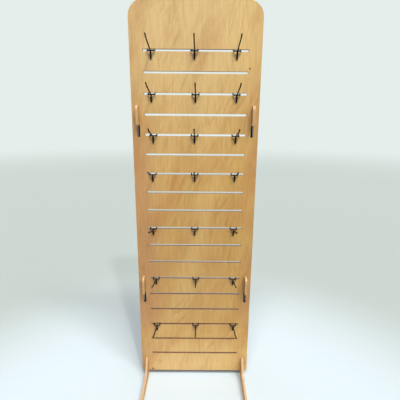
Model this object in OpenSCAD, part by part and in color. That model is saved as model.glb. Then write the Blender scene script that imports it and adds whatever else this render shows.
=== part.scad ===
// Free-standing slotted display panel on two plug-in legs, with sliding wire hooks.
// Millimetres, +Z up, front towards -Y, origin on the floor under the middle of the stand.

/* [Panel] */
// Width of the panel
panel_w = 480; // [440:5:600]
// Thickness of the panel's plywood
panel_t = 12; // [9:0.5:18]
// Height of the panel's lower edge above the floor
panel_lift = 27; // [20:1:36]
// Plain height above the middle of the top slot
head_h = 166; // [90:1:240]
// Plain height below the middle of the bottom slot
skirt_h = 94; // [80:1:140]
// Radius of the two upper corners
head_corner_r = 57; // [10:1:80]
// Radius of the two lower corners
skirt_corner_r = 4; // [1:0.5:8]

/* [Hook slots] */
// Number of horizontal slots
slot_count = 18; // [17:1:20]
// Distance from slot to slot
slot_pitch = 75; // [68:1:85]
// Height of a slot
slot_h = 8; // [7.5:0.1:10]
// Distance from the panel's side to the end of a slot
slot_inset = 47.5; // [42:0.5:60]

/* [Legs] */
// Thickness of the legs' plywood
leg_t = 9; // [6:0.5:12]
// Distance from the panel's side to the middle of a leg
leg_inset = 23.5; // [20:0.5:26]
// Gap between a leg and each side of its slot in the panel
leg_play = 0.5; // [0.3:0.1:1]
// Gap between the panel and the leg in front of it and behind it
seat_play = 0.3; // [0.2:0.05:0.8]
// Height of the lower seat that carries the panel
lower_seat_h = 469; // [420:1:560]
// Height of the upper seat that carries the panel
upper_seat_h = 1168; // [1000:1:1200]
// Height of the neck that passes through the panel under a seat
neck_h = 37; // [28:1:60]
// Height of a hook above its seat
hook_rise = 37; // [25:1:50]
// Extra lift that lets the panel clear the hooks
lift_play = 1; // [0.5:0.5:4]
// Spare height at the foot of the two lower leg slots
lower_slot_spare = 12.5; // [0.5:0.5:20]
// Spare height at the foot of the two upper leg slots
upper_slot_spare = 4; // [0.5:0.5:20]
// Reach of a tab in front of the panel
tab_reach = 32; // [24:1:60]
// Radius of a tab's upper front corner
tab_round_r = 18; // [6:1:24]
// Height of the spine above the upper tab
spine_over = 22; // [10:1:60]
// Depth of the spine at its top
spine_top_w = 50; // [40:1:70]
// Depth of the spine at its foot
spine_foot_w = 95; // [80:1:130]

/* [Feet] */
// Reach of the toe in front of the panel
toe_reach = 230; // [180:5:300]
// Reach of the heel behind the panel's front
heel_reach = 250; // [220:5:320]
// Height of the foot at its tips
foot_tip_h = 24; // [16:1:30]
// Height of the foot at its root
foot_root_h = 42; // [34:1:56]
// Height of the seat under the panel
foot_seat_h = 70; // [62:1:78]
// Gap above the seat under the panel
foot_play = 0.5; // [0.3:0.1:1]
// Reach of the toe's nub at its root
nub_root = 46; // [38:1:60]
// Reach of the toe's nub at its top
nub_top = 17; // [12:1:24]
// Height of the nub above the seat under the panel
nub_rise = 27; // [18:1:40]
// Radius of the nub's upper front corner
nub_round_r = 8; // [2:0.5:8]

/* [Wire hooks] */
// Diameter of the wire
wire_d = 4.8; // [3:0.1:5]
// Distance between the two arms of a bridge
bridge_w = 25.5; // [22:0.5:32]
// Reach of the bridge in front of the panel
bridge_reach = 7.5; // [6.5:0.5:14]
// Width of the flat stem
stem_w = 6.6; // [5:0.2:12]
// Thickness of the flat stem
stem_t = 3; // [2.8:0.1:4]
// Height of the stem below the bridge
stem_drop = 27.5; // [20:0.5:45]
// Reach of the round prong at its bend
prong_reach = 108; // [80:1:160]
// Slope of the prong
prong_slope = 12.5; // [5:0.5:18]
// Length of the upturned tip
tip_len = 20; // [12:0.5:26]
// Slope of the upturned tip
tip_slope = 28; // [20:1:50]
// Gap between the wire and the edges it rests on
wire_play = 0.3; // [0.2:0.05:0.5]
// Spare height for putting a hook into its slot
entry_play = 0.4; // [0.2:0.1:0.6]
// Distance from the end of a slot to the middle of an outer hook
hook_inset = 32.5; // [31:0.5:60]
// Step in which the hooks hang beside their columns
nudge_step = 1; // [0:0.1:1.3]

/* [Hidden] */
circle_steps = 48;
corner_steps = 12;

// Slots that carry hooks, counted from the top
hook_slot_numbers = [1, 3, 5, 7, 10, 13, 16];
hook_columns = ["left", "middle", "right"];
// How many steps each hook hangs beside its column, row by row
nudge_counts = [
    [-2, -4, -10], [-4, 0, -7], [-1, -3, -6], [-7, -2, -5],
    [-11, -1, -2], [-5, 4, 3], [-7, 4, 10]
];

face_y = (toe_reach - heel_reach) / 2;
panel_h = skirt_h + (slot_count - 1) * slot_pitch + head_h;
top_slot_z = panel_lift + panel_h - head_h;
slot_half = panel_w / 2 - slot_inset;
slot_overrun = 1;

leg_x = panel_w / 2 - leg_inset;
leg_slot_w = leg_t + 2 * leg_play;
leg_slot_r = 2.5;
// Height at which the rounded foot of a leg slot has room for the leg
slot_foot_h = leg_slot_r - sqrt(leg_slot_r ^ 2 - (leg_slot_r - leg_play) ^ 2);
leg_slot_h = neck_h + hook_rise + lift_play + slot_foot_h;
spine_y = panel_t + seat_play;
spine_top_h = upper_seat_h + hook_rise + spine_over;
tip_r = foot_tip_h / 2;
sole_r = 3;
root_r = 14;
heel_root_r = 90;
spine_top_r = 18;
hook_back_r = 2;
hook_land = 1;
nub_r = min(nub_round_r, nub_top / 2);
tab_r = min(tab_round_r, tab_reach - seat_play - hook_back_r - hook_land);

wire_r = wire_d / 2;
bridge_bend_r = 1.1 * wire_d;
tip_bend_r = 2.5 * wire_d;
weld_depth = 1;
// Bends and round ends are a touch thicker than the straight wire, which runs on into them
swell = 0.04;
overlap = 0.3;

// The arms rise towards the back, from the slot's lower front edge to its upper back edge
edge_gap = wire_r + wire_play;
arm_rise = acos(2 * edge_gap / norm([panel_t, slot_h])) - atan2(panel_t, slot_h);
bar_z = edge_gap / cos(arm_rise) - slot_h / 2 - bridge_reach * tan(arm_rise);
// The tails stand as tall as still lets them pass through the slot with the arms level
tail_stub = 0.2;
tail_bend_r = max(slot_h - entry_play - wire_d - tail_stub, 1.05 * wire_r);
tail_h = tail_bend_r + tail_stub;
arm_reach = (bridge_reach + panel_t + edge_gap + tail_h * sin(arm_rise)) / cos(arm_rise);

// Middle of the bridge's bar and back of the stem's foot, as reach and height
bar_spot = [bridge_reach, bar_z];
stem_foot = [wire_play, bar_z - stem_drop];
stem_span = norm(bar_spot - stem_foot);
// The bar sinks into the back of the stem by the depth of the weld
bar_gap = wire_r - weld_depth;
stem_lean = 90 - heading(bar_spot - stem_foot) + asin(bar_gap / stem_span);
stem_len = sqrt(stem_span ^ 2 - bar_gap ^ 2) + wire_r;
stem_end_r = 0.45 * stem_w;
// The prong leaves the front of the stem right in front of the bar
prong_root = bar_spot + (bar_gap + stem_t) * [cos(stem_lean), -sin(stem_lean)];

function hook_name(row, column) = str("hook_row", row + 1, "_", hook_columns[column]);
function hook_x(row, column) =
    (column - 1) * (slot_half - hook_inset) + nudge_step * nudge_counts[row][column];
function slot_z(number) = top_slot_z - (number - 1) * slot_pitch;

function unit(v) = v / norm(v);
function turn(a, b) = atan2(a[0] * b[1] - a[1] * b[0], a * b);
function heading(v) = atan2(v[1], v[0]);

// Points of the arc that rounds corner b of the line a-b-c with radius r
function corner_arc(a, b, c, r) =
    let (
        bend = turn(unit(b - a), unit(c - b)),
        side = sign(bend),
        start = b - unit(b - a) * r * tan(abs(bend) / 2),
        middle = start + side * r * [-unit(b - a)[1], unit(b - a)[0]]
    )
    [for (i = [0:corner_steps])
        let (angle = heading(start - middle) + bend * i / corner_steps)
        middle + r * [cos(angle), sin(angle)]];

// Closed outline through corners given as [x, y, radius]
function rounded_outline(corners) =
    let (n = len(corners))
    [for (i = [0:n - 1])
        let (
            a = corners[(i + n - 1) % n],
            b = corners[i],
            c = corners[(i + 1) % n],
            flat = [for (p = [a, b, c]) [p[0], p[1]]]
        )
        each b[2] > 0 ? corner_arc(flat[0], flat[1], flat[2], b[2]) : [flat[1]]];

// Panel

module panel_outline() {
    polygon(rounded_outline([
        [-panel_w / 2, panel_lift, skirt_corner_r],
        [panel_w / 2, panel_lift, skirt_corner_r],
        [panel_w / 2, panel_lift + panel_h, head_corner_r],
        [-panel_w / 2, panel_lift + panel_h, head_corner_r]
    ]));
}

module hook_slot(number) {
    translate([-slot_half, slot_z(number) - slot_h / 2])
        square([2 * slot_half, slot_h]);
}

module leg_slot(seat_h, spare) {
    bottom = seat_h - leg_slot_h - spare;
    polygon(rounded_outline([
        [-leg_slot_w / 2, bottom, leg_slot_r],
        [leg_slot_w / 2, bottom, leg_slot_r],
        [leg_slot_w / 2, seat_h, 0],
        [-leg_slot_w / 2, seat_h, 0]
    ]));
}

module foot_notch() {
    translate([-leg_slot_w / 2, panel_lift - slot_overrun])
        square([leg_slot_w, foot_seat_h + foot_play - panel_lift + slot_overrun]);
}

module front_panel() {
    color([0.85, 0.71, 0.50])
    translate([0, face_y + panel_t, 0])
        rotate([90, 0, 0])
        linear_extrude(panel_t)
        difference() {
            panel_outline();
            for (number = [1:slot_count]) hook_slot(number);
            for (side = [-1, 1]) translate([side * leg_x, 0]) {
                leg_slot(lower_seat_h, lower_slot_spare);
                leg_slot(upper_seat_h, upper_slot_spare);
                foot_notch();
            }
        }
}

// Legs

// Corners of one tab, from the spine round its front and back to the spine
function tab_corners(seat_h) = [
    [spine_y, seat_h - neck_h, 0],
    [-tab_reach, seat_h - neck_h, sole_r],
    [-tab_reach, seat_h + hook_rise, tab_r],
    [-seat_play, seat_h + hook_rise, hook_back_r],
    [-seat_play, seat_h, 0],
    [spine_y, seat_h, 0]
];

leg_corners = concat(
    [
        [-toe_reach, 0, sole_r],
        [-toe_reach, foot_tip_h, tip_r],
        [-nub_root, foot_root_h, root_r],
        [-nub_top, foot_seat_h + nub_rise, nub_r],
        [-seat_play, foot_seat_h + nub_rise, hook_back_r],
        [-seat_play, foot_seat_h, 0],
        [spine_y, foot_seat_h, 0]
    ],
    tab_corners(lower_seat_h),
    tab_corners(upper_seat_h),
    [
        [spine_y, spine_top_h, spine_top_r],
        [spine_y + spine_top_w, spine_top_h, spine_top_r],
        [spine_y + spine_foot_w, foot_root_h, heel_root_r],
        [heel_reach, foot_tip_h, tip_r],
        [heel_reach, 0, sole_r]
    ]
);

module leg(side) {
    translate([side * leg_x - leg_t / 2, face_y, 0])
        rotate([90, 0, 90])
        linear_extrude(leg_t)
        polygon(rounded_outline(leg_corners));
}

module left_leg() {
    color([0.88, 0.74, 0.54]) leg(-1);
}

module right_leg() {
    color([0.88, 0.74, 0.54]) leg(1);
}

// Wire hooks

// Straight wire along +X from the origin. It runs on a little into what follows at each end.
module straight_wire(length) {
    translate([-overlap, 0, 0])
        rotate([0, 90, 0])
        cylinder(h = length + 2 * overlap, r = wire_r, $fn = circle_steps);
}

// Round end of a wire, on top of the origin
module wire_end() {
    rotate_extrude($fn = circle_steps)
        intersection() {
            circle(wire_r + swell, $fn = circle_steps);
            square(wire_d);
        }
}

// Bend that leaves the origin along +X and turns left, or right where the angle is negative
module wire_bend(angle, r) {
    mirror([0, angle < 0 ? 1 : 0, 0])
        translate([0, r, 0])
        rotate([0, 0, -90])
        rotate_extrude(angle = abs(angle), $fn = circle_steps)
        translate([r, 0])
        circle(wire_r + swell, $fn = circle_steps);
}

// Wire that sets off from the origin along +X, with a round end unless that end is sunk. Each
// step is a straight length, then a roll about the wire, then a turn in the rolled frame and the
// radius of that bend.
module bent_wire(steps, sunk = false, i = 0) {
    step = steps[i];
    last = i == len(steps) - 1;
    straight_wire(step[0]);
    if (i == 0 && !sunk) rotate([0, -90, 0]) wire_end();
    translate([step[0], 0, 0])
        if (last) rotate([0, 90, 0]) wire_end();
        else rotate([step[1], 0, 0]) {
            centre = sign(step[2]) * step[3];
            wire_bend(step[2], step[3]);
            translate([0, centre, 0])
                rotate([0, 0, step[2]])
                translate([0, -centre, 0])
                bent_wire(steps, sunk, i + 1);
        }
}

// Length that a bend takes from the straight stretch on each side of it
function setback(angle, r) = r * tan(abs(angle) / 2);

// Bridge across the front, its two arms through the slot and their tails up behind the panel
module bridge_wire() {
    arm = arm_reach - tail_bend_r - bridge_bend_r;
    bar = bridge_w - 2 * bridge_bend_r;
    translate([0, -bridge_reach, bar_z])
        rotate([arm_rise, 0, 0])
        translate([bridge_w / 2, arm_reach, tail_h])
        rotate([180, 90, 0])
        bent_wire([
            [tail_stub, 0, 90, tail_bend_r],
            [arm, 90, 90, bridge_bend_r],
            [bar, 0, 90, bridge_bend_r],
            [arm, -90, 90, tail_bend_r],
            [tail_stub]
        ]);
}

// Flat stem that leans from the bridge back to the panel
module stem() {
    translate([stem_foot[0], stem_foot[1], 0])
        rotate([90, 0, 90 - stem_lean])
        linear_extrude(stem_t)
        polygon(rounded_outline([
            [0, -stem_w / 2, stem_end_r],
            [stem_len, -stem_w / 2, stem_end_r],
            [stem_len, stem_w / 2, stem_end_r],
            [0, stem_w / 2, stem_end_r]
        ]));
}

// Prong and upturned tip, whose flat end lies wholly inside the stem
module prong_wire() {
    sink = wire_r * tan(stem_lean + prong_slope);
    tip_turn = tip_slope - prong_slope;
    tip_setback = setback(tip_turn, tip_bend_r);
    prong = (prong_reach - prong_root[0]) / cos(prong_slope) - tip_setback;
    translate([prong_root[0], prong_root[1], 0])
        rotate([0, 0, prong_slope])
        translate([-sink, 0, 0])
        bent_wire([
            [prong + sink, 0, tip_turn, tip_bend_r],
            [tip_len - wire_r - tip_setback]
        ], sunk = true);
}

module hook(row, column) {
    color([0.13, 0.11, 0.10])
    translate([hook_x(row, column), face_y, slot_z(hook_slot_numbers[row])]) {
        bridge_wire();
        rotate([90, 0, -90]) {
            stem();
            prong_wire();
        }
    }
}

front_panel();
left_leg();
right_leg();
for (row = [0:len(hook_slot_numbers) - 1]) for (column = [0:2])
    hook(row, column);
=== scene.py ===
import math
import random

import bmesh
import bpy
from mathutils import Matrix, Vector


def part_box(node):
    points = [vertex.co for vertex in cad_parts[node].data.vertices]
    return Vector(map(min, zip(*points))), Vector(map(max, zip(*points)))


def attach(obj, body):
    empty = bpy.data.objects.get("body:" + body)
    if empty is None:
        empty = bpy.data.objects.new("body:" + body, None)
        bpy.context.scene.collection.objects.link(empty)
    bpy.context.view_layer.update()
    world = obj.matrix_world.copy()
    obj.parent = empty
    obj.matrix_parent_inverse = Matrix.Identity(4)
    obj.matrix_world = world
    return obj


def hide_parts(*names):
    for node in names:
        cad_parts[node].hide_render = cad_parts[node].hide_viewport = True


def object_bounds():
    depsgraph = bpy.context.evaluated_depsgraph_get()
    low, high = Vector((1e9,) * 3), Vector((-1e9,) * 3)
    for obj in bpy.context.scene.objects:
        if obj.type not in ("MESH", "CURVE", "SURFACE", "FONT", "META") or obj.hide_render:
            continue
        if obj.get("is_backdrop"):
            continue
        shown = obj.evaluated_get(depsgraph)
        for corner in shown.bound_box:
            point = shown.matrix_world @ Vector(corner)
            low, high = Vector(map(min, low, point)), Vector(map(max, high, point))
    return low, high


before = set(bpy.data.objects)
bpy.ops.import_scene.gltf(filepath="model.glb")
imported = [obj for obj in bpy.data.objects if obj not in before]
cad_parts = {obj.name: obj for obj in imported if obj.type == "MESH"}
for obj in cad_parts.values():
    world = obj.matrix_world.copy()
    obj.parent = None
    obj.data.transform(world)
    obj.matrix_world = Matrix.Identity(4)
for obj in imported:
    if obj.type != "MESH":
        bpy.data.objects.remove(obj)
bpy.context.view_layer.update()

# Sizes of the stand, in metres. Its front faces -Y, and the floor is at z = 0

PANEL_W, PANEL_T = 0.480, 0.012
PANEL_LOW, PANEL_TOP = 0.027, 1.562
FACE_Y = -0.010
HEAD_R, SKIRT_R = 0.057, 0.004
PANEL_EASE, PANEL_PLIES = 0.0004, 9

SLOT_COUNT, SLOT_PITCH = 18, 0.075
TOP_SLOT_Z = 1.396
LOW_SLOT_Z = TOP_SLOT_Z - (SLOT_COUNT - 1) * SLOT_PITCH
SLOT_HALF_W, SLOT_HALF_H = 0.1925, 0.004

LEG_X, LEG_T = 0.2165, 0.009
LEG_EASE, LEG_PLIES = 0.0005, 7
LEG_SLOT_HALF_W, LEG_SLOT_R = 0.005, 0.0025
LOWER_SEAT, UPPER_SEAT, FOOT_SEAT = 0.469, 1.168, 0.070
SEAT_PLAY, FOOT_PLAY = 0.0003, 0.0005
NOTCH_TOP = FOOT_SEAT + FOOT_PLAY

# Height of each leg slot's upper end, which rests on a tab's neck, and the slot's length below it
LEG_SLOTS = ((LOWER_SEAT, 0.0885), (UPPER_SEAT, 0.080))

# Outline of a leg, measured from the panel's front and from the floor
NECK_H, HOOK_RISE, HOOK_BACK_R = 0.037, 0.037, 0.002
TAB_REACH, TAB_R = 0.032, 0.018
SPINE_Y, SPINE_TOP, SPINE_TOP_R = PANEL_T + SEAT_PLAY, 1.227, 0.018
SPINE_TOP_W, SPINE_FOOT_W = 0.050, 0.095
TOE_REACH, HEEL_REACH = 0.230, 0.250
FOOT_TIP_H, FOOT_ROOT_H = 0.024, 0.042
TIP_R, SOLE_R, TOE_ROOT_R, HEEL_ROOT_R = FOOT_TIP_H / 2, 0.003, 0.014, 0.090
NUB_ROOT, NUB_TOP, NUB_RISE, NUB_R = 0.046, 0.017, 0.027, 0.008

# Hook, measured from the panel's front at the middle of the slot's height
WIRE_R, WIRE_PLAY, WELD_DEPTH = 0.0024, 0.0003, 0.001
BAR_REACH, BAR_Z = 0.0075, -0.0028
BRIDGE_HALF_W, BRIDGE_BEND_R = 0.01275, 0.0053
ARM_LENGTH, ARM_RISE = 0.02325, math.radians(11.7)
TAIL_LENGTH, TAIL_BEND_R = 0.0028, 0.0026
STEM_W, STEM_T, STEM_LENGTH, STEM_DROP = 0.0066, 0.003, 0.0308, 0.0275
STEM_LEAN, STEM_END_R, STEM_EASE = math.radians(17.5), 0.45 * STEM_W, 0.0004
PRONG_REACH, PRONG_SLOPE, PRONG_SINK = 0.108, math.radians(12.5), 0.0006
TIP_LENGTH, TIP_SLOPE, TIP_BEND_R = 0.0176, math.radians(28), 0.012
BAR_BEAD, PRONG_BEAD = (0.0014, 0.0019, 0.0021), (0.0011, 0.0009, 0.0018)

# Slots that hold hooks, counted from the top. Each is one row of hooks
SLOT_ROWS = (1, 3, 5, 7, 10, 13, 16)
COLUMNS = ("left", "middle", "right")


# Outlines of the boards

def corner_arc(a, b, c, r, steps=12):
    """Points of the arc that rounds corner b of the path from a to c."""
    a, b, c = Vector(a), Vector(b), Vector(c)
    u, v = (b - a).normalized(), (c - b).normalized()
    bend = math.atan2(u.x * v.y - u.y * v.x, u.dot(v))
    start = b - u * r * math.tan(abs(bend) / 2)
    middle = start + math.copysign(r, bend) * Vector((-u.y, u.x))
    first = math.atan2(start.y - middle.y, start.x - middle.x)
    angles = [first + bend * i / steps for i in range(steps + 1)]
    return [(middle.x + r * math.cos(t), middle.y + r * math.sin(t)) for t in angles]


def rounded(corners):
    """Closed outline through corners given as (x, y, radius)."""
    points = []
    for i, (x, y, r) in enumerate(corners):
        a, c = corners[i - 1], corners[(i + 1) % len(corners)]
        points += corner_arc(a[:2], (x, y), c[:2], r) if r else [(x, y)]
    return points


def hook_slot(z):
    low, high = z - SLOT_HALF_H, z + SLOT_HALF_H
    return [(-SLOT_HALF_W, low), (-SLOT_HALF_W, high), (SLOT_HALF_W, high), (SLOT_HALF_W, low)]


def leg_slot(x, seat, height):
    left, right, low = x - LEG_SLOT_HALF_W, x + LEG_SLOT_HALF_W, seat - height
    return rounded([
        (left, low, LEG_SLOT_R),
        (left, seat, 0),
        (right, seat, 0),
        (right, low, LEG_SLOT_R),
    ])


def notch(x):
    """Corners of the notch for a leg in the panel's lower edge."""
    left, right = x - LEG_SLOT_HALF_W, x + LEG_SLOT_HALF_W
    return [(left, PANEL_LOW, 0), (left, NOTCH_TOP, 0), (right, NOTCH_TOP, 0), (right, PANEL_LOW, 0)]


def panel_outlines():
    half = PANEL_W / 2
    outer = rounded([
        (-half, PANEL_LOW, SKIRT_R),
        *notch(-LEG_X),
        *notch(LEG_X),
        (half, PANEL_LOW, SKIRT_R),
        (half, PANEL_TOP, HEAD_R),
        (-half, PANEL_TOP, HEAD_R),
    ])
    hook_slots = [hook_slot(TOP_SLOT_Z - i * SLOT_PITCH) for i in range(SLOT_COUNT)]
    leg_slots = [leg_slot(side * LEG_X, *slot) for side in (-1, 1) for slot in LEG_SLOTS]
    return [outer, *hook_slots, *leg_slots]


def tab(seat):
    """Corners of a tab, from under its neck forward, up its hook and back to the spine."""
    return [
        (SPINE_Y, seat - NECK_H, 0),
        (-TAB_REACH, seat - NECK_H, SOLE_R),
        (-TAB_REACH, seat + HOOK_RISE, TAB_R),
        (-SEAT_PLAY, seat + HOOK_RISE, HOOK_BACK_R),
        (-SEAT_PLAY, seat, 0),
        (SPINE_Y, seat, 0),
    ]


def leg_outlines():
    corners = [
        (-TOE_REACH, 0, SOLE_R),
        (-TOE_REACH, FOOT_TIP_H, TIP_R),
        (-NUB_ROOT, FOOT_ROOT_H, TOE_ROOT_R),
        (-NUB_TOP, FOOT_SEAT + NUB_RISE, NUB_R),
        (-SEAT_PLAY, FOOT_SEAT + NUB_RISE, HOOK_BACK_R),
        (-SEAT_PLAY, FOOT_SEAT, 0),
        (SPINE_Y, FOOT_SEAT, 0),
        *tab(LOWER_SEAT),
        *tab(UPPER_SEAT),
        (SPINE_Y, SPINE_TOP, SPINE_TOP_R),
        (SPINE_Y + SPINE_TOP_W, SPINE_TOP, SPINE_TOP_R),
        (SPINE_Y + SPINE_FOOT_W, FOOT_ROOT_H, HEEL_ROOT_R),
        (HEEL_REACH, FOOT_TIP_H, TIP_R),
        (HEEL_REACH, 0, SOLE_R),
    ]
    return [rounded(corners)[::-1]]


# Meshes

def link(name, data):
    obj = bpy.data.objects.new(name, data)
    bpy.context.scene.collection.objects.link(obj)
    return obj


def shade_smooth(mesh, sharp_degrees):
    """Smooth shading, except over edges that bend by more than sharp_degrees."""
    for polygon in mesh.polygons:
        polygon.use_smooth = True
    mesh.set_sharp_from_angle(angle=math.radians(sharp_degrees))


def board(name, outlines, thickness, edge_r, columns, origin):
    """Flat board with eased edges.

    columns are the frame directions of the outline's x and y and of the thickness.
    """
    curve = bpy.data.curves.new(name, "CURVE")
    curve.dimensions = "2D"
    curve.fill_mode = "BOTH"
    curve.extrude = thickness / 2 - edge_r
    curve.bevel_depth = edge_r
    curve.bevel_resolution = 2
    curve.offset = -edge_r
    for outline in outlines:
        spline = curve.splines.new("POLY")
        spline.points.add(len(outline) - 1)
        for point, (x, y) in zip(spline.points, outline):
            point.co = (x, y, 0, 1)
        spline.use_cyclic_u = True
    maker = link(name + "_maker", curve)
    bpy.context.view_layer.update()
    graph = bpy.context.evaluated_depsgraph_get()
    mesh = bpy.data.meshes.new_from_object(maker.evaluated_get(graph))
    bpy.data.objects.remove(maker)
    bpy.data.curves.remove(curve)
    mesh.name = name
    turn = Matrix([list(row) for row in zip(*columns)]).to_4x4()
    mesh.transform(Matrix.Translation(origin) @ turn)
    bm = bmesh.new()
    bm.from_mesh(mesh)
    bmesh.ops.remove_doubles(bm, verts=bm.verts, dist=1e-6)
    bmesh.ops.recalc_face_normals(bm, faces=bm.faces)
    bm.to_mesh(mesh)
    bm.free()
    shade_smooth(mesh, 14)
    return link(name, mesh)


def filleted(corners, radii, steps=9):
    """Points of a bent wire through corners, each inner corner rounded with its radius."""
    points = [Vector(corners[0])]
    for a, b, c, r in zip(corners, corners[1:], corners[2:], radii):
        a, b, c = Vector(a), Vector(b), Vector(c)
        u, v = (b - a).normalized(), (c - b).normalized()
        angle = u.angle(v)
        reach = r * math.tan(angle / 2)
        side = (v - u * math.cos(angle)).normalized()
        start = b - u * reach
        for i in range(steps + 1):
            t = angle * i / steps
            points.append(start + u * r * math.sin(t) + side * r * (1 - math.cos(t)))
    points.append(Vector(corners[-1]))
    return points


def wire_ways(points):
    """Direction of a wire at each of its points."""
    ways = []
    for i in range(len(points)):
        before = (points[i] - points[i - 1]).normalized() if i else None
        after = (points[i + 1] - points[i]).normalized() if i < len(points) - 1 else None
        ways.append(((before or after) + (after or before)).normalized())
    return ways


def add_wire(bm, points, r, sides=20, end_steps=5):
    """Round wire along points with domed ends."""
    ways = wire_ways(points)
    stations = []
    for k in range(1, end_steps + 1):
        t = math.pi / 2 * k / end_steps
        stations.append((points[0] - ways[0] * r * math.cos(t), ways[0], r * math.sin(t)))
    stations += [(p, w, r) for p, w in zip(points[1:-1], ways[1:-1])]
    for k in range(end_steps, 0, -1):
        t = math.pi / 2 * k / end_steps
        stations.append((points[-1] + ways[-1] * r * math.cos(t), ways[-1], r * math.sin(t)))
    normal = ways[0].orthogonal().normalized()
    rings = []
    for centre, way, radius in stations:
        normal = (normal - way * normal.dot(way)).normalized()
        other = way.cross(normal)
        rings.append([
            bm.verts.new(centre + radius * (math.cos(a) * normal + math.sin(a) * other))
            for a in (2 * math.pi * s / sides for s in range(sides))
        ])
    for low, high in zip(rings, rings[1:]):
        for s in range(sides):
            bm.faces.new((low[s - 1], low[s], high[s], high[s - 1]))
    start, end = points[0] - ways[0] * r, points[-1] + ways[-1] * r
    for ring, centre, flip in ((rings[0], start, True), (rings[-1], end, False)):
        pole = bm.verts.new(centre)
        for s in range(sides):
            face = (ring[s - 1], ring[s], pole)
            bm.faces.new(face[::-1] if flip else face)


def add_strip(bm, foot, up, front, width, thickness, length, end_r, ease):
    """Flat bar with rounded ends and eased edges. foot is the lower end of its back's middle line."""
    side = up.cross(front)
    rings = []
    for depth, inset in ((0, ease), (ease, 0), (thickness - ease, 0), (thickness, ease)):
        x, low, high, r = width / 2 - inset, inset, length - inset, end_r - inset
        outline = rounded([(-x, low, r), (x, low, r), (x, high, r), (-x, high, r)])
        rings.append([bm.verts.new(foot + side * u + up * v + front * depth) for u, v in outline])
    for low, high in zip(rings, rings[1:]):
        for s in range(len(low)):
            bm.faces.new((low[s - 1], low[s], high[s], high[s - 1]))
    bm.faces.new(rings[0][::-1])
    bm.faces.new(rings[-1])


def add_weld(bm, centre, size, seed):
    """Small uneven bead of weld."""
    bead = bmesh.ops.create_icosphere(bm, subdivisions=3, radius=1)["verts"]
    rng = random.Random(seed)
    waves = [(Vector([rng.uniform(-3, 3) for _ in range(3)]), rng.uniform(0, 6)) for _ in range(4)]
    for v in bead:
        bump = sum(math.sin(w.dot(v.co) + p) for w, p in waves) * 0.03
        v.co = centre + Vector([c * s for c, s in zip(v.co * (1 + bump), size)])


def hook_mesh():
    """Wire hook: a bridge with two arms, a stem welded in front of it, and a prong on the stem."""
    bm = bmesh.new()
    bar, half_bar = Vector((0, -BAR_REACH, BAR_Z)), Vector((BRIDGE_HALF_W, 0, 0))
    left, right = bar - half_bar, bar + half_bar
    arm = Vector((0, math.cos(ARM_RISE), math.sin(ARM_RISE))) * ARM_LENGTH
    tail = Vector((0, -math.sin(ARM_RISE), math.cos(ARM_RISE))) * TAIL_LENGTH
    bridge = filleted(
        [left + arm + tail, left + arm, left, right, right + arm, right + arm + tail],
        [TAIL_BEND_R, BRIDGE_BEND_R, BRIDGE_BEND_R, TAIL_BEND_R],
    )
    add_wire(bm, bridge, WIRE_R)

    up = Vector((0, -math.sin(STEM_LEAN), math.cos(STEM_LEAN)))
    front = Vector((0, -math.cos(STEM_LEAN), -math.sin(STEM_LEAN)))
    foot = Vector((0, -WIRE_PLAY, BAR_Z - STEM_DROP))
    add_strip(bm, foot, up, front, STEM_W, STEM_T, STEM_LENGTH, STEM_END_R, STEM_EASE)

    root = bar + front * (WIRE_R - WELD_DEPTH + STEM_T)
    ahead = Vector((0, -math.cos(PRONG_SLOPE), math.sin(PRONG_SLOPE)))
    upward = Vector((0, -math.cos(TIP_SLOPE), math.sin(TIP_SLOPE)))
    bend = root + ahead * (PRONG_REACH + root.y) / math.cos(PRONG_SLOPE)
    prong = filleted([root - ahead * PRONG_SINK, bend, bend + upward * TIP_LENGTH], [TIP_BEND_R])
    add_wire(bm, prong, WIRE_R)

    for side in (-1, 1):
        add_weld(bm, bar + Vector((side * 0.0033, 0, -0.0004)), BAR_BEAD, 3 + side)
        add_weld(bm, root + Vector((side * 0.0020, 0.0002, 0)), PRONG_BEAD, 7 + side)
    mesh = bpy.data.meshes.new("hook_wire")
    bm.to_mesh(mesh)
    bm.free()
    shade_smooth(mesh, 50)
    return mesh


# Node helpers

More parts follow.
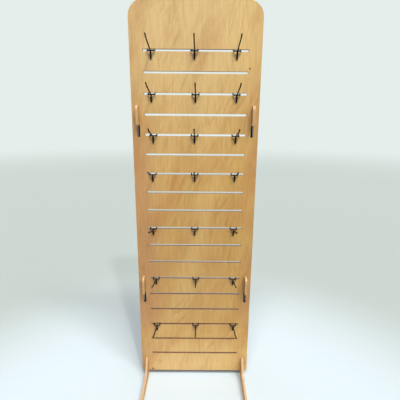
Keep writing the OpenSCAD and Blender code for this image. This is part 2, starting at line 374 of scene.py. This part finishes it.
class Nodes:
    """Builds the node tree of one material or world. What adds a node returns its output."""

    def __init__(self, owner, output="ShaderNodeOutputMaterial"):
        owner.use_nodes = True
        self.owner, self.tree = owner, owner.node_tree
        self.tree.nodes.clear()
        self.output = self.tree.nodes.new(output)
        self.coords = self.tree.nodes.new("ShaderNodeTexCoord").outputs

    def feed(self, socket, value):
        """Links a socket to another, or sets it to a constant."""
        if isinstance(value, bpy.types.NodeSocket):
            self.tree.links.new(value, socket)
        else:
            socket.default_value = value

    def put(self, kind, inputs, **settings):
        """New node with its settings, and its inputs by name or number."""
        node = self.tree.nodes.new(kind)
        for key, value in settings.items():
            setattr(node, key, value)
        for key, value in inputs.items():
            self.feed(node.inputs[key], value)
        return node.outputs[0]

    def math(self, operation, a, b=0.0, clamp=False):
        return self.put("ShaderNodeMath", {0: a, 1: b}, operation=operation, use_clamp=clamp)

    def add(self, a, b):
        return self.math("ADD", a, b)

    def minus(self, a, b):
        return self.math("SUBTRACT", a, b)

    def times(self, a, b):
        return self.math("MULTIPLY", a, b)

    def split(self, vector):
        node = self.tree.nodes.new("ShaderNodeSeparateXYZ")
        self.feed(node.inputs[0], vector)
        return node.outputs[0], node.outputs[1], node.outputs[2]

    def join(self, x, y, z):
        return self.put("ShaderNodeCombineXYZ", {0: x, 1: y, 2: z})

    def scaled(self, vector, x, y, z):
        return self.put("ShaderNodeVectorMath", {0: vector, 1: (x, y, z)}, operation="MULTIPLY")

    def noise(self, vector, scale=1.0, detail=2.0, rough=0.5):
        inputs = {"Vector": vector, "Scale": scale, "Detail": detail, "Roughness": rough}
        return self.put("ShaderNodeTexNoise", inputs)

    def streaky(self, u, v, u_scale, v_scale, seed, detail=2.0, rough=0.5):
        """Noise over u and v, drawn out along the one with the smaller scale."""
        place = self.join(self.times(u, u_scale), self.times(v, v_scale), seed)
        return self.noise(place, 1.0, detail, rough)

    def ramp(self, value, low, high, to_low=0.0, to_high=1.0, smooth=True):
        """Value taken from the range low to high into to_low to to_high, and held at its ends."""
        return self.put(
            "ShaderNodeMapRange",
            {"Value": value, "From Min": low, "From Max": high, "To Min": to_low, "To Max": to_high},
            interpolation_type="SMOOTHSTEP" if smooth else "LINEAR",
            clamp=True,
        )

    def mix(self, factor, a, b, blend="MIX"):
        """Mix of two colours. A mix node's colour sockets are inputs 6 and 7 and output 2."""
        node = self.tree.nodes.new("ShaderNodeMix")
        node.data_type = "RGBA"
        node.blend_type = blend
        for number, value in ((0, factor), (6, a), (7, b)):
            self.feed(node.inputs[number], value)
        return node.outputs[2]

    def seen(self):
        """1 for what shows directly, in a reflection or through glass, and 0 for what lights the rest."""
        paths = self.tree.nodes.new("ShaderNodeLightPath").outputs
        seen = self.math("MAXIMUM", paths["Is Camera Ray"], paths["Is Glossy Ray"])
        return self.math("MAXIMUM", seen, paths["Is Transmission Ray"])

    def surface(self, shader):
        """Ends the tree with a shader, and returns the material or world."""
        self.tree.links.new(shader, self.output.inputs["Surface"])
        return self.owner


def srgb(r, g, b):
    def linear(v):
        v /= 255
        return v / 12.92 if v <= 0.04045 else ((v + 0.055) / 1.055) ** 2.4
    return (linear(r), linear(g), linear(b), 1.0)


# Colours

# The paler birch on the next line is painted light for the panel's head and foot
BIRCH_DARK, BIRCH_LIGHT, BIRCH_PAINTED_LIGHT = srgb(195, 154, 89), srgb(204, 166, 102), srgb(224, 193, 136)
BIRCH_PINK, BLUSH, STREAK = srgb(190, 143, 95), srgb(186, 134, 78), srgb(158, 100, 52)
BAND_DARK, BAND_LIGHT = srgb(164, 112, 60), srgb(232, 198, 136)
FIBRE, FLECK = srgb(150, 106, 58), srgb(120, 78, 42)
HONEY_TINT, SHADE_TINT = (1.0, 0.97, 0.80, 1.0), (0.88, 0.88, 0.88, 1.0)
LONG_PLY_DARK, LONG_PLY_LIGHT = srgb(195, 162, 122), srgb(211, 182, 142)
CROSS_PLY_DARK, CROSS_PLY_LIGHT = srgb(152, 108, 72), srgb(188, 146, 104)
SIDE_DARK, SCORCHED, KNOT, HANDLED = srgb(174, 125, 80), srgb(124, 82, 50), srgb(98, 56, 36), srgb(150, 104, 62)
# The near black at the end of the next line stands partly for burn and partly for painted shade deep in
# the leg slots
BURNT_DARK, BURNT_LIGHT, CHAR_AND_SHADE = srgb(132, 92, 60), srgb(166, 122, 84), srgb(44, 24, 13)
COAT, COAT_WORN = srgb(20, 16, 13), srgb(46, 34, 25)
FLOOR_LIGHTING_NEAR, FLOOR_LIGHTING_FAR = srgb(184, 188, 190), srgb(124, 126, 125)
FLOOR_SHOWN_NEAR, FLOOR_SHOWN_FAR = srgb(186, 196, 200), srgb(161, 169, 165)
BACKDROP_LOW, BACKDROP_HIGH = srgb(207, 217, 212), srgb(229, 238, 234)


# Materials of the pieces

# Knots in the panel as x, z and radius, and how far the scorching round a slot reaches
KNOTS = ((0.198, 1.335, 0.0035), (-0.192, 0.034, 0.0056))
SCORCH_MIN, SCORCH_MAX = 0.0008, 0.0016


def veneer(n, across, along, seed, tilt=0.0, painted_light=0.0, pink=0.0, honey=0.0):
    """Colour and height of a rotary-cut birch veneer.

    across and along are metres over and along the board, and the figure is tilted by degrees.
    The last three amounts, from 0 to 1, are how far it is made paler by painted light, pinker and more
    honey coloured.
    """
    c, s = math.cos(math.radians(tilt)), math.sin(math.radians(tilt))
    over = n.minus(n.times(across, c), n.times(along, s))
    grain = n.add(n.times(across, s), n.times(along, c))

    # Slow bends and ripples of the grain, which shift what follows it
    bow = n.streaky(over, grain, 5.0, 1.6, seed)
    ripple = n.streaky(over, grain, 20.0, 12.0, seed + 2.0, detail=1.0)
    sway = n.add(n.times(bow, 0.16), n.times(ripple, 0.010))
    bent = n.add(over, n.minus(sway, 0.085))
    straight = n.add(across, n.times(sway, 0.5))

    # Rings with streaks along their contours, finer marks, and where the streaks are strong
    rings = n.streaky(bent, grain, 13.0, 1.0, seed + 3.0)
    streaks = n.math("PINGPONG", n.times(rings, 11.0), 0.5)
    bands = n.streaky(straight, along, 150.0, 10.0, seed + 13.0, detail=3.0, rough=0.6)
    fibres = n.streaky(straight, along, 420.0, 9.0, seed + 5.0, detail=3.0, rough=0.6)
    flecks = n.streaky(across, along, 700.0, 70.0, seed + 7.0, detail=1.0)
    blush = n.streaky(over, grain, 12.0, 4.0, seed + 9.0, detail=4.0, rough=0.6)
    where = n.streaky(across, along, 9.0, 7.0, seed + 11.0)

    # Ground colour first, and the finest marks last
    colour = n.mix(n.ramp(rings, 0.34, 0.66), BIRCH_DARK, BIRCH_LIGHT)
    # Painted light: the ground colour turns towards a paler birch by the painted-light amount
    colour = n.mix(painted_light, colour, BIRCH_PAINTED_LIGHT)
    colour = n.mix(honey, colour, HONEY_TINT, "MULTIPLY")
    colour = n.mix(n.times(pink, n.ramp(blush, 0.30, 0.60, 0.5, 1.0)), colour, BIRCH_PINK)
    colour = n.mix(n.ramp(blush, 0.46, 0.70, 0.0, 0.46), colour, BLUSH)
    line = n.times(n.ramp(streaks, 0.0, 0.18, 0.36, 0.0), n.ramp(where, 0.42, 0.66))
    # Streaks fade where light is painted in
    line = n.times(line, n.ramp(painted_light, 0.0, 1.0, 1.0, 0.55))
    colour = n.mix(line, colour, STREAK)
    colour = n.mix(n.ramp(bands, 0.30, 0.54, 0.21, 0.0), colour, BAND_DARK)
    colour = n.mix(n.ramp(bands, 0.50, 0.72, 0.0, 0.18), colour, BAND_LIGHT)
    colour = n.mix(n.ramp(fibres, 0.30, 0.52, 0.20, 0.0), colour, FIBRE)
    colour = n.mix(n.ramp(flecks, 0.24, 0.34, 0.34, 0.0), colour, FLECK)
    height = n.add(n.times(fibres, 0.7), n.times(flecks, 0.3))
    return colour, height


def plies(n, depth, along, thickness, count, seed):
    """Colour of a cut plywood edge: glued layers whose grain runs one way and then the other."""
    layer = n.times(n.add(n.math("DIVIDE", depth, thickness), 0.5), count)
    wobble = n.noise(n.join(n.times(along, 30.0), seed, 0.0))
    layer = n.add(layer, n.times(n.minus(wobble, 0.5), 0.25))
    wave = n.math("PINGPONG", layer, 1.0)
    end_grain = n.streaky(along, layer, 700.0, 3.0, seed)
    light = n.mix(n.ramp(end_grain, 0.35, 0.65), LONG_PLY_DARK, LONG_PLY_LIGHT)
    dark = n.mix(n.ramp(end_grain, 0.30, 0.60), CROSS_PLY_DARK, CROSS_PLY_LIGHT)
    return n.mix(n.ramp(wave, 0.38, 0.62), light, dark)


def wood_shader(n, colour, height, roughness, char_and_shade):
    """Plywood, with painted shade below chest height for the light falling off there, less so again near
    the floor.
    """
    _, _, z = n.split(n.coords["Object"])
    # Painted shade: the colour is darkened at middle heights, where less light falls
    painted_shade = n.times(n.ramp(z, 0.98, 0.62), n.ramp(z, 0.16, 0.34, 0.5, 1.0))
    return n.surface(n.put("ShaderNodeBsdfPrincipled", {
        "Base Color": n.mix(painted_shade, colour, SHADE_TINT, "MULTIPLY"),
        "Roughness": n.math("MAXIMUM", roughness, char_and_shade),
        "Normal": n.put("ShaderNodeBump", {"Height": height, "Distance": 0.0004, "Strength": 0.5}),
        "Specular IOR Level": 0.4,
    }))


def box_distance(n, x, z, middle_x, middle_z, half_w, half_h):
    """Distance from a rectangle, 0 inside it."""
    dx = n.math("MAXIMUM", n.minus(n.math("ABSOLUTE", n.minus(x, middle_x)), half_w), 0.0)
    dz = n.math("MAXIMUM", n.minus(n.math("ABSOLUTE", n.minus(z, middle_z)), half_h), 0.0)
    return n.math("SQRT", n.add(n.times(dx, dx), n.times(dz, dz)))


def panel_material():
    n = Nodes(bpy.data.materials.new("panel_plywood_look"))
    place = n.coords["Object"]
    x, y, z = n.split(place)
    _, facing, _ = n.split(n.coords["Normal"])
    side_x = n.math("ABSOLUTE", x)

    # Painted light makes it paler towards head and foot, as if lit more from above and from the floor; it
    # is also yellower to the right and pinker at the left below chest height
    painted_light = n.math("MAXIMUM", n.ramp(z, 0.86, 1.56, 0.0, 0.85), n.ramp(z, 0.24, 0.06, 0.0, 0.6))
    honey = n.ramp(x, 0.02, 0.23, 0.0, 0.7)
    low_half = n.times(n.ramp(z, 1.25, 0.95), n.ramp(z, 0.18, 0.34))
    pink = n.times(n.ramp(x, -0.10, -0.22), low_half)
    face, height = veneer(n, x, z, 1.0, 20.0, painted_light, pink, honey)

    # Darker in patches along both sides, less so towards the head
    side_patches = n.noise(n.scaled(place, 11, 11, 7), detail=3.0)
    side_darkening = n.times(n.ramp(side_x, 0.16, 0.245), n.ramp(side_patches, 0.38, 0.66, 0.1, 0.7))
    face = n.mix(n.times(side_darkening, n.ramp(z, 1.40, 1.10, 0.35, 1.0)), face, SIDE_DARK)

    # Distances from the nearest hook slot and the nearest leg slot
    row = n.math("ROUND", n.math("DIVIDE", n.minus(z, LOW_SLOT_Z), SLOT_PITCH))
    row = n.math("MINIMUM", n.math("MAXIMUM", row, 0.0), SLOT_COUNT - 1.0)
    slot_z = n.add(n.times(row, SLOT_PITCH), LOW_SLOT_Z)
    to_hook_slot = box_distance(n, x, z, 0.0, slot_z, SLOT_HALF_W, SLOT_HALF_H)
    to_lower, to_upper = (
        box_distance(n, side_x, z, LEG_X, seat - tall / 2, LEG_SLOT_HALF_W, tall / 2)
        for seat, tall in LEG_SLOTS
    )
    to_leg_slot = n.math("MINIMUM", to_lower, to_upper)
    to_cut = n.math("MINIMUM", to_hook_slot, to_leg_slot)

    # Scorched rims round the slots, and knots
    patch = n.noise(place, 60.0)
    reach = n.ramp(patch, 0.3, 0.7, SCORCH_MIN, SCORCH_MAX)
    scorch = n.minus(1.0, n.math("DIVIDE", to_cut, reach, clamp=True))
    face = n.mix(n.times(scorch, 0.35), face, SCORCHED)
    for knot_x, knot_z, r in KNOTS:
        to_knot = box_distance(n, x, z, knot_x, knot_z, 0.0, 0.0)
        face = n.mix(n.ramp(to_knot, r * 0.5, r * 1.5, 0.85, 0.0), face, KNOT)

    # Cut edges show the layers and are burnt in the slots; in the leg slots they are near black, partly
    # burn and partly painted shade of those deep slots
    depth = n.minus(y, FACE_Y + PANEL_T / 2)
    edge = plies(n, depth, n.add(z, x), PANEL_T, PANEL_PLIES, 2.0)
    burnt = n.mix(n.ramp(patch, 0.3, 0.7), BURNT_DARK, BURNT_LIGHT)
    edge = n.mix(n.ramp(to_cut, SCORCH_MIN, SCORCH_MAX, 0.85, 0.0), edge, burnt)
    char_and_shade = n.ramp(to_leg_slot, SCORCH_MIN, SCORCH_MAX, 0.95, 0.0)
    edge = n.mix(char_and_shade, edge, CHAR_AND_SHADE)

    on_face = n.ramp(n.math("ABSOLUTE", facing), 0.55, 0.8)
    char_and_shade = n.times(char_and_shade, n.minus(1.0, on_face))
    roughness = n.ramp(patch, 0.2, 0.8, 0.42, 0.56)
    return wood_shader(n, n.mix(on_face, edge, face), height, roughness, char_and_shade)


def leg_material():
    n = Nodes(bpy.data.materials.new("leg_plywood_look"))
    place = n.coords["Object"]
    x, y, z = n.split(place)
    facing, _, _ = n.split(n.coords["Normal"])
    face, height = veneer(n, y, z, 21.0)
    depth = n.minus(n.math("ABSOLUTE", x), LEG_X)
    edge = plies(n, depth, n.add(z, y), LEG_T, LEG_PLIES, 4.0)
    patch = n.noise(place, 45.0)
    edge = n.mix(n.ramp(patch, 0.55, 0.8, 0.0, 0.35), edge, HANDLED)

    # The spine's front edge, which shows through the leg slots, is near black as their walls are: painted
    # shade of the deep slots, and partly burn
    to_spine = n.math("ABSOLUTE", n.minus(y, FACE_Y + SPINE_Y))
    char_and_shade = n.ramp(to_spine, 0.0004, 0.0010, 0.95, 0.0)
    edge = n.mix(char_and_shade, edge, CHAR_AND_SHADE)
    colour = n.mix(n.ramp(n.math("ABSOLUTE", facing), 0.55, 0.8), edge, face)
    return wood_shader(n, colour, height, n.ramp(patch, 0.2, 0.8, 0.42, 0.58), char_and_shade)


def wire_material():
    """Black powder coat, a little browner and smoother where it is worn."""
    n = Nodes(bpy.data.materials.new("hook_wire_look"))
    place = n.coords["Object"]
    grains = n.noise(place, 2600.0)
    wear = n.noise(place, 210.0, 3.0, 0.6)
    return n.surface(n.put("ShaderNodeBsdfPrincipled", {
        "Base Color": n.mix(n.ramp(wear, 0.60, 0.78), COAT, COAT_WORN),
        "Roughness": n.ramp(wear, 0.3, 0.8, 0.50, 0.38),
        "Normal": n.put("ShaderNodeBump", {"Height": grains, "Distance": 0.00006, "Strength": 0.6}),
        "Specular IOR Level": 0.16,
    }))


# Pieces

panel_look = panel_material()
leg_look = leg_material()
wire_look = wire_material()

panel = board(
    "panel_board", panel_outlines(), PANEL_T, PANEL_EASE,
    [(1, 0, 0), (0, 0, 1), (0, -1, 0)], (0, FACE_Y + PANEL_T / 2, 0),
)
panel.data.materials.append(panel_look)
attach(panel, "front_panel")
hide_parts("front_panel")

for side, name in ((-1, "left_leg"), (1, "right_leg")):
    leg = board(
        name + "_board", leg_outlines(), LEG_T, LEG_EASE,
        [(0, 1, 0), (0, 0, 1), (1, 0, 0)], (side * LEG_X, FACE_Y, 0),
    )
    leg.data.materials.append(leg_look)
    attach(leg, name)
    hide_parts(name)

# All hooks share one mesh. Each hangs at its own place along its slot, which the frame gives
wire = hook_mesh()
wire.materials.append(wire_look)
for row, number in enumerate(SLOT_ROWS, 1):
    for column in COLUMNS:
        node = f"hook_row{row}_{column}"
        low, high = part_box(node)
        hook = link(node + "_wire", wire)
        hook.location = ((low.x + high.x) / 2, FACE_Y, TOP_SLOT_Z - (number - 1) * SLOT_PITCH)
        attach(hook, node)
        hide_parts(node)


# Floor, backdrop and light

# The floor's colours change with the distance from a spot this far in front of the frame's origin
LIT_SPOT_AHEAD = 0.5
FLOOR_R = 14


def floor_material():
    """Pale floor with the stand's shadow, which passes into the backdrop far from the stand.

    lighting is its colour for the light that it throws on the stand, and shown the one in the picture.
    """
    n = Nodes(bpy.data.materials.new("floor_look"))
    x, y, _ = n.split(n.coords["Object"])
    ahead = n.add(y, LIT_SPOT_AHEAD)
    distance = n.math("SQRT", n.add(n.times(x, x), n.times(ahead, ahead)))
    lighting = n.mix(n.ramp(distance, 0.4, 0.8), FLOOR_LIGHTING_NEAR, FLOOR_LIGHTING_FAR)
    shown = n.mix(n.ramp(distance, 0.8, 1.7), FLOOR_SHOWN_NEAR, FLOOR_SHOWN_FAR)
    near = n.put("ShaderNodeBsdfDiffuse", {"Color": n.mix(n.seen(), lighting, shown)})
    haze = n.mix(n.ramp(distance, 6.0, FLOOR_R), BACKDROP_LOW, BACKDROP_HIGH)
    far = n.put("ShaderNodeEmission", {"Color": haze})
    fade = n.times(n.ramp(distance, 2.2, 4.5), n.seen())
    return n.surface(n.put("ShaderNodeMixShader", {0: fade, 1: near, 2: far}))


def studio_world():
    """Pale backdrop where the world shows, and elsewhere a soft light, weaker from the front."""
    n = Nodes(bpy.data.worlds.new("studio"), "ShaderNodeOutputWorld")
    _, y, _ = n.split(n.coords["Generated"])
    fill = n.ramp(y, -0.1, 0.6, 0.13, 0.70, smooth=False)
    soft = n.put("ShaderNodeBackground", {"Color": (1.0, 0.99, 0.97, 1.0), "Strength": fill})
    backdrop = n.put("ShaderNodeBackground", {"Color": BACKDROP_HIGH})
    return n.surface(n.put("ShaderNodeMixShader", {0: n.seen(), 1: soft, 2: backdrop}))


floor = link("floor", bpy.data.meshes.new("floor"))
bm = bmesh.new()
bmesh.ops.create_circle(bm, cap_ends=True, segments=96, radius=FLOOR_R)
bm.to_mesh(floor.data)
bm.free()
floor.data.materials.append(floor_material())
floor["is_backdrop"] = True
bpy.context.scene.world = studio_world()


def sun(name, rise, aside, spread, strength):
    """Sun lamp, rise degrees up in front and then aside degrees to the right in that tilted plane."""
    data = bpy.data.lights.new(name, "SUN")
    data.angle = math.radians(spread)
    data.energy = strength
    rise, aside = math.radians(rise), math.radians(aside)
    forward = math.cos(aside)
    way = Vector((math.sin(aside), -forward * math.cos(rise), forward * math.sin(rise)))
    link(name, data).rotation_euler = way.to_track_quat("Z", "Y").to_euler()


KEY_LAMPS = 7

# A long soft strip of lamps high in front, a smaller lamp below it, and a wide soft one on each side
for i in range(KEY_LAMPS):
    aside = (i - KEY_LAMPS // 2) * 6.5 + 9
    sun(f"key_soft_{i + 1}", rise=62 + 0.5 * i, aside=aside, spread=8, strength=0.59)
sun("key_small", rise=50, aside=14, spread=3, strength=0.9)
sun("side_soft", rise=40, aside=55, spread=40, strength=0.38)
sun("side_fill", rise=40, aside=-60, spread=50, strength=0.22)


# Camera, with the place, turn and lens that were fitted to the photograph

CAMERA_PLACE = (0.017, FACE_Y - 1.249, 1.1533)
PITCH, YAW, ROLL = math.radians(14.07), math.radians(0.12), math.radians(-0.43)
SENSOR_MM, LENS_MM = 36, 28.8

ahead = Vector((math.sin(YAW) * math.cos(PITCH), math.cos(YAW) * math.cos(PITCH), -math.sin(PITCH)))
level_right = Vector((math.cos(YAW), -math.sin(YAW), 0))
level_down = ahead.cross(level_right)
right = math.cos(ROLL) * level_right + math.sin(ROLL) * level_down
down = -math.sin(ROLL) * level_right + math.cos(ROLL) * level_down
camera_data = bpy.data.cameras.new("camera")
camera_data.sensor_width = SENSOR_MM
camera_data.lens = LENS_MM
camera = link("camera", camera_data)
turn = Matrix((right, -down, -ahead)).transposed().to_4x4()
camera.matrix_world = Matrix.Translation(CAMERA_PLACE) @ turn
bpy.context.scene.camera = camera

bpy.context.scene.view_settings.view_transform = "Standard"

low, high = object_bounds()
